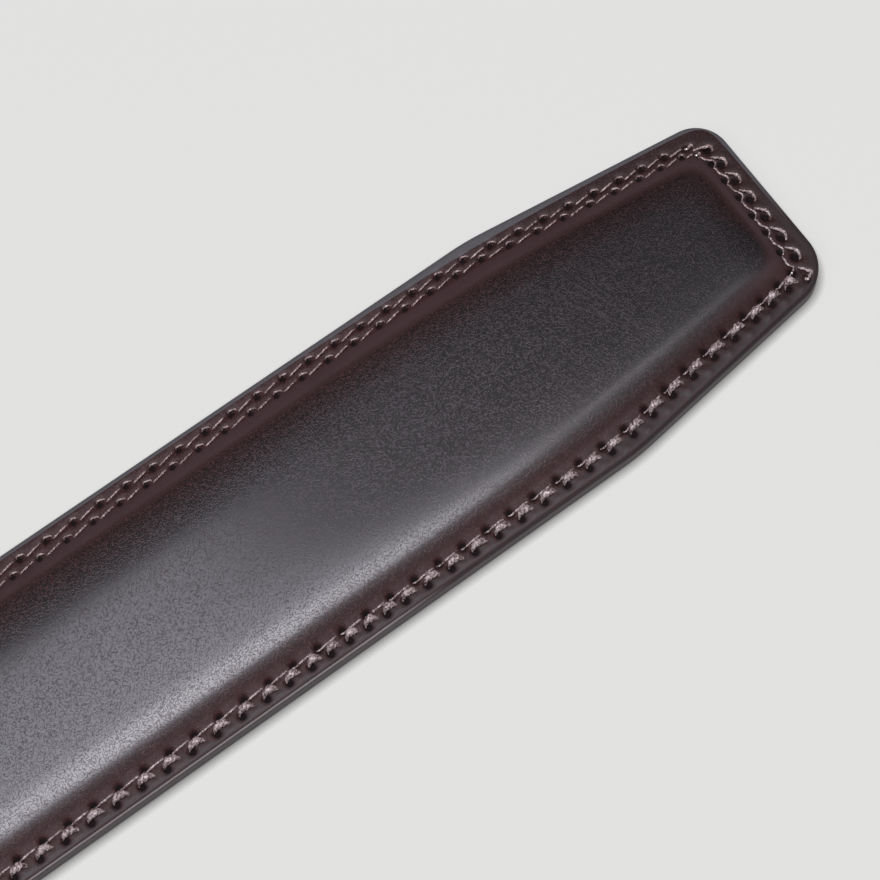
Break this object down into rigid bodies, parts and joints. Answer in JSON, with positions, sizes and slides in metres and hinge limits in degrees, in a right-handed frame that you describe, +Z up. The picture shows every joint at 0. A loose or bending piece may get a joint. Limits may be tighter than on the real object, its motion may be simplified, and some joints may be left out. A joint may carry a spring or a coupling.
{
  "type": "ratchet belt",
  "caption": "Dark brown leather ratchet belt lying straight and face up: stitched, padded strap with a tapered tip, a toothed track underneath and a plain clamp buckle.",
  "frame": {"origin": "bottom centre of the belt's bounding box, on the surface that it lies on", "axes": "+X along the strap to its tip, +Y across the strap, +Z up, out of the outer leather"},
  "size_m": [1.2277, 0.0406, 0.014],
  "materials": {
    "face_leather": "dark brown grained leather with a soft polish",
    "backing_leather": "plain split leather with a painted edge",
    "track_plastic": "moulded",
    "buckle_metal": "satin",
    "thread": "waxed twisted thread"
  },
  "bodies": {
    "root": {"strap_face": "face_leather", "strap_backing": "backing_leather", "ratchet_track": "track_plastic", "buckle": "buckle_metal"}
  },
  "joints": []
}
